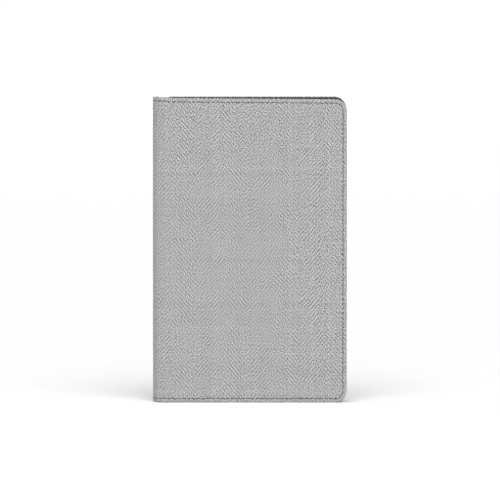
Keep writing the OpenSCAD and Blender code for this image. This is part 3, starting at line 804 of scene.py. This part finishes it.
def plastic_material(name, base, rough, grain, depth=0.00002):
    """Moulded plastic with a fine spark-eroded grain and faint handling marks."""
    t = Tree(name)
    fine = t.noise(t.here(), grain, 3.0, 0.6)
    wide = t.noise(t.here(), 55.0, 4.0, 0.6)
    smear = t.noise(t.scaled(t.here(), (30.0, 30.0, 140.0)), 1.0, 3.0, 0.6)
    f = t.math("MULTIPLY_ADD", fine, 0.4, t.math("MULTIPLY", wide, 0.6))
    worn = t.math("MULTIPLY_ADD", smear, 0.6, t.math("MULTIPLY", fine, 0.4))
    t.set(Base_Color=t.mix(t.range(f, 0.3, 0.7, 0.0, 1.0), *shades(base, 0.86, 1.14)),
          Roughness=t.range(worn, 0.25, 0.75, rough - 0.07, rough + 0.08))
    t.set(Normal=t.bump(fine, depth, 0.6))
    return t.mat


def metal_material(name, base, rough, brush=(1.0, 1.0, 1.0), metallic=1.0):
    """Metal with fine tooling lines, stretched by brush, and dull patches."""
    t = Tree(name)
    lines = t.noise(t.scaled(t.here(), tuple(2200.0 * b for b in brush)), 1.0, 3.0, 0.6)
    dull = t.noise(t.here(), 130.0, 4.0, 0.6)
    worn = t.math("MULTIPLY_ADD", lines, 0.5, t.math("MULTIPLY", dull, 0.5))
    t.set(Base_Color=t.mix(t.range(dull, 0.3, 0.7, 0.0, 1.0), *shades(base, 0.82, 1.0)),
          Metallic=metallic,
          Roughness=t.range(worn, 0.25, 0.75, rough - 0.1, rough + 0.12))
    t.set(Normal=t.bump(lines, 0.000008, 0.5))
    return t.mat


def board_material(name, base):
    """Grey chipboard: pressed fibres and flecks."""
    t = Tree(name)
    fibre = t.noise(t.scaled(t.here(), (900.0, 900.0, 240.0)), 1.0, 4.0, 0.65)
    fleck = t.noise(t.here(), 700.0, 2.0, 0.5)
    f = t.math("MULTIPLY_ADD", fibre, 0.6, t.math("MULTIPLY", fleck, 0.4))
    t.set(Base_Color=t.mix(t.range(f, 0.3, 0.7, 0.0, 1.0), *shades(base, 0.7, 1.2)),
          Roughness=t.range(fibre, 0.2, 0.8, 0.82, 0.97))
    t.set(Normal=t.bump(fibre, 0.00005, 0.7))
    return t.mat


def circuit_material(name):
    """Solder mask with darker tracks in straight runs."""
    t = Tree(name)
    here = t.here()
    node = t.nt.nodes.new("ShaderNodeTexVoronoi")
    node.distance = "MANHATTAN"
    t.put(node.inputs["Vector"], here)
    node.inputs["Scale"].default_value = 420.0
    track = t.range(node.outputs["Distance"], 0.35, 0.42, 0.0, 1.0)
    grain = t.noise(here, 1800.0, 2.0)
    t.set(Base_Color=t.mix(track, (0.012, 0.085, 0.045), (0.02, 0.15, 0.075)),
          Roughness=t.range(grain, 0.2, 0.8, 0.28, 0.42))
    t.set(Normal=t.bump(track, 0.00002, 0.5))
    return t.mat


def glass_material(name, tint):
    """Clear moulded plastic with a little haze."""
    t = Tree(name)
    haze = t.noise(t.here(), 900.0, 3.0)
    t.set(Base_Color=t.mix(haze, *shades(tint, 0.9, 1.0)),
          Roughness=t.range(haze, 0.2, 0.8, 0.18, 0.4), Transmission_Weight=0.35)
    return t.mat


CLOTH_MAT = cloth_material("woven_cloth", (0.2, 0.2, 0.202), (0.77, 0.77, 0.775))
LINING_MAT = lining_material("brushed_lining", (0.055, 0.055, 0.058))
THREAD_MAT = thread_material("thread", (0.025, 0.025, 0.026))
BOARD_MAT = board_material("chipboard", (0.33, 0.3, 0.26))


# ---------------------------------------------------------------- covers
def finish(obj, material):
    """Joins a sheet's doubled points and gives it its material and slot."""
    merge_close(obj)
    obj.data.materials.append(material)


def ripple(s, z):
    """A very slight unevenness of the cloth over its board."""
    return 0.035 * (math.sin(s * 0.11 + 1.3) * math.sin(z * 0.083 + 0.4)
                    + 0.6 * math.sin(s * 0.23 + z * 0.05) * math.sin(z * 0.19 + 2.0)) + 0.03


def bend(obj):
    """Bakes the skin's placing into its points."""
    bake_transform(obj)


front_cloth = cover_skin(-1).make("cloth_front", ripple)
finish(front_cloth, CLOTH_MAT)
bend(front_cloth)
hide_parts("front_cloth")

back_holes = (window_outline, camera_outline)
back_cloth = cover_skin(1, back_holes).make("cloth_back", ripple)
finish(back_cloth, CLOTH_MAT)
bend(back_cloth)
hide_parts("back_cloth", "spine_cloth")

flap_box = (x_to_s(FLAP0[0]), x_to_s(FLAP1[0]), FLAP0[2], FLAP1[2])
flap_cloth = panel_skin(1, flap_box, FLAP_R).make("cloth_stand")
finish(flap_cloth, CLOTH_MAT)
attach(flap_cloth, "stand")
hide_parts("stand_cloth")

# boards and linings lie a little clear of the cloth and of each other
front_board = cover_layer(-1, "board_front", S_COVER + 0.65, 0.85, lambda s: CLOTH + 0.06,
                          BOARD - 0.1)
LINING_IN = 0.55  # from the cover's edge to the lining's
front_lining = cover_layer(-1, "lining_front", 0.0, LINING_IN, layer_depth, LINING - 0.02)
back_lining = cover_layer(1, "lining_back", 0.0, LINING_IN, layer_depth, LINING - 0.02,
                          back_holes)
FLAP_IN = 0.5
lining_box = (flap_box[0] + FLAP_IN, flap_box[1] - FLAP_IN,
              flap_box[2] + FLAP_IN, flap_box[3] - FLAP_IN)
flap_lining = panel_layer(1, "lining_stand", lining_box, FLAP_R - FLAP_IN, EDGE_T + 0.01,
                          LINING - 0.01)

for obj in (front_lining, back_lining, flap_lining):
    finish(obj, LINING_MAT)
finish(front_board, BOARD_MAT)
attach(front_board, "front_cover")
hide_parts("front_board")
bend(front_lining)
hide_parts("front_lining")
bend(back_lining)
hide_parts("back_lining", "spine_lining")
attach(flap_lining, "stand")
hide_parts("stand_lining")

# stitches
cols = columns(0.0, S_END - CORNER)
rows = spread(CORNER, H - CORNER, GRID)
path = cover_ring(STITCH_IN, cols, rows, arc=24)
for side, other, seed in ((-1, "front_cover", 11), (1, "back", 12)):
    obj = thread("thread_front" if side < 0 else "thread_back", side, path, seed=seed)
    obj.data.materials.append(THREAD_MAT)
    bend(obj)
flap_rows = spread(flap_box[2] + FLAP_R, flap_box[3] - FLAP_R, GRID)
flap_cols = spread(flap_box[0] + FLAP_R, flap_box[1] - FLAP_R, GRID)
flap_path = panel_ring(flap_box, FLAP_R, STITCH_IN, flap_rows, flap_cols, arc=12)
obj = thread("thread_stand", 1, flap_path, closed=True, seed=13)
obj.data.materials.append(THREAD_MAT)
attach(obj, "stand")

# ---------------------------------------------------------------- CAD pieces
TRAY_MAT = plastic_material("tray_plastic", (0.018, 0.018, 0.019), 0.42, 3200.0)
DECK_MAT = plastic_material("deck_plastic", (0.022, 0.022, 0.023), 0.46, 3000.0)
KEY_MAT = plastic_material("key_plastic", (0.03, 0.03, 0.031), 0.5, 4200.0, 0.000012)
KNOB_MAT = plastic_material("knob_plastic", (0.05, 0.05, 0.052), 0.45, 3000.0)
CHIP_MAT = plastic_material("chip_package", (0.02, 0.02, 0.02), 0.55, 2500.0)
RUBBER_MAT = plastic_material("dome_rubber", (0.6, 0.6, 0.58), 0.6, 1500.0)
FILM_MAT = plastic_material("printed_film", (0.55, 0.6, 0.58), 0.3, 900.0, 0.000005)
GLUE_MAT = plastic_material("adhesive", (0.55, 0.52, 0.45), 0.5, 1200.0)
PAD_MAT = lining_material("felt_pad", (0.06, 0.06, 0.062))
MAGNET_MAT = metal_material("nickel_plate", (0.6, 0.6, 0.61), 0.28)
STEEL_MAT = metal_material("zinc_steel", (0.55, 0.55, 0.57), 0.4)
HINGE_MAT = metal_material("dark_steel", (0.13, 0.13, 0.135), 0.42, (1.0, 1.0, 0.08))
BASE_MAT = metal_material("black_base", (0.03, 0.03, 0.031), 0.5, metallic=0.3)
CELL_MAT = plastic_material("cell_wrap", (0.5, 0.5, 0.52), 0.3, 700.0)
PORT_MAT = metal_material("port_shell", (0.62, 0.62, 0.63), 0.3, (0.15, 1.0, 1.0))
CIRCUIT_MAT = circuit_material("circuit_board")
PIPE_MAT = glass_material("light_pipe", (0.85, 0.92, 0.93))

KEYS = ["keys_function", "keys_number", "key_backspace", "keys_upper", "keys_home",
        "key_enter", "keys_lower", "key_shift", "keys_bottom", "key_space"]
# the material of each CAD node that keeps its mesh
FINISH = {
    "back_board": BOARD_MAT, "spine_board": BOARD_MAT, "stand_board": BOARD_MAT,
    "tray": TRAY_MAT, "tray_pad": PAD_MAT, "tray_adhesive": GLUE_MAT,
    "tray_magnets": MAGNET_MAT, "stand_keepers": STEEL_MAT, "stand_magnets": MAGNET_MAT,
    "hinge_leaf_fixed": HINGE_MAT, "hinge_leaf_moving": HINGE_MAT, "hinge_pin": STEEL_MAT,
    "hinge_rivets_fixed": STEEL_MAT, "hinge_rivets_moving": STEEL_MAT,
    "keyboard_adhesive": GLUE_MAT, "keyboard_base": BASE_MAT, "keyboard_deck": DECK_MAT,
    "keyboard_screws": STEEL_MAT, "key_plate": STEEL_MAT, "membrane": FILM_MAT,
    "membrane_tail": FILM_MAT, "dome_sheet": RUBBER_MAT, "main_board": CIRCUIT_MAT,
    "board_chips": CHIP_MAT, "battery": CELL_MAT, "charging_port": PORT_MAT,
    "power_switch_body": PORT_MAT, "power_switch_knob": KNOB_MAT, "pair_switch": PORT_MAT,
    "pair_button": KNOB_MAT, "light_pipes": PIPE_MAT, "keyboard_magnets": MAGNET_MAT,
}
for name in KEYS:
    FINISH[name] = KEY_MAT
# rounding of hard edges, mm
ROUND = {"tray": 0.35, "keyboard_deck": 0.25, "power_switch_knob": 0.12, "pair_button": 0.2,
         "keyboard_base": 0.2, "hinge_leaf_fixed": 0.06, "hinge_leaf_moving": 0.06}
for name in KEYS:
    ROUND[name] = 0.3


def soften(obj, width):
    """Rounds a moulded piece's hard edges."""
    weld = obj.modifiers.new("weld", "WELD")
    weld.merge_threshold = 1e-6
    flat = obj.modifiers.new("flat", "DECIMATE")
    flat.decimate_type = "DISSOLVE"
    flat.angle_limit = math.radians(0.6)
    bevel = obj.modifiers.new("round", "BEVEL")
    bevel.width = width * MM
    bevel.segments = 2
    bevel.limit_method = "ANGLE"
    bevel.angle_limit = math.radians(40)
    bevel.use_clamp_overlap = True
    bevel.miter_outer = "MITER_ARC"
    weighted = obj.modifiers.new("shade", "WEIGHTED_NORMAL")
    weighted.keep_sharp = False


for name, material in FINISH.items():
    obj = nodes[name]
    obj.data.materials.clear()
    obj.data.materials.append(material)
    if name in ROUND:
        soften(obj, ROUND[name])


# ---------------------------------------------------------------- floor, light, camera
def floor_material():
    """Matt white studio floor."""
    t = Tree("pale_floor")
    grain = t.noise(t.here(), 40.0, 3.0)
    t.set(Base_Color=t.mix(grain, (0.93, 0.93, 0.93), (0.95, 0.95, 0.95)), Roughness=0.9,
          Specular_IOR_Level=0.1)
    return t.mat


def backdrop_material():
    """An evenly lit white wall, as bright as the floor in front of it."""
    t = Tree("bright_backdrop")
    cloudy = t.noise(t.here(), 0.3)
    t.set(Base_Color=t.mix(cloudy, (0.02, 0.02, 0.02), (0.03, 0.03, 0.03)), Roughness=0.9,
          Emission_Color=(1.0, 1.0, 1.0, 1.0), Emission_Strength=0.99)
    return t.mat


def plane(name, corners, material):
    """A flat sheet of studio with four corners, in metres."""
    obj = new_object(name, corners, [(0, 1, 2, 3)], smooth=False)
    obj.data.materials.append(material)


GROUND = -0.00005  # just clear of the case
plane("floor", [(-9, -6, GROUND), (9, -6, GROUND), (9, 14, GROUND), (-9, 14, GROUND)],
      floor_material())
plane("backdrop", [(-6, 13.9, 0.0), (6, 13.9, 0.0), (6, 13.9, 6.0), (-6, 13.9, 6.0)],
      backdrop_material())

world = bpy.data.worlds.new("studio")
bpy.context.scene.world = world
world.use_nodes = True
background = world.node_tree.nodes["Background"]
background.inputs[0].default_value = (1.0, 1.0, 1.0, 1.0)
background.inputs[1].default_value = 0.48


def add_light(name, kind):
    lamp = bpy.data.lights.new(name, kind)
    obj = bpy.data.objects.new(name, lamp)
    bpy.context.scene.collection.objects.link(obj)
    return lamp, obj


# a broad overhead light from the front, and a small lamp that fills the front face
key, key_obj = add_light("key", "SUN")
key.energy = 2.4
key.angle = math.radians(55)
key_obj.rotation_euler = (math.radians(42), 0.0, math.radians(3))
front, front_obj = add_light("front", "AREA")
front.size = 0.5
front.energy = 1.2
front_obj.location = (0.0, -0.9, 0.55)
to_face = Vector((0, 0, 0.12)) - front_obj.location
front_obj.rotation_euler = to_face.to_track_quat("-Z", "Y").to_euler()

# the camera stands in front of the case, a little above its upper edge
RANGE = 3.5  # from the front cover, m
RISE = 0.0125  # height over the upper edge, for each metre of range
SENSOR = 36.0
WIDE = 1 / 2.759  # width of the picture at the front cover, m
DROP = 0.305  # from the picture's middle to the case's base, in picture widths
EYE_Z = H * MM + RISE * RANGE
pitch = math.atan(EYE_Z / RANGE) - math.atan(DROP * WIDE / RANGE)
eye = bpy.data.objects.new("camera", bpy.data.cameras.new("camera"))
bpy.context.scene.collection.objects.link(eye)
eye.location = (0.0, -HALF * MM - RANGE, EYE_Z)
eye.rotation_euler = (PI / 2 - pitch, 0.0, 0.0)
eye.data.sensor_width = SENSOR
eye.data.lens = SENSOR * RANGE / WIDE
eye.data.shift_x = 0.0006
eye.data.clip_end = 100
bpy.context.scene.camera = eye
bpy.context.scene.view_settings.view_transform = "Standard"

bpy.context.view_layer.update()
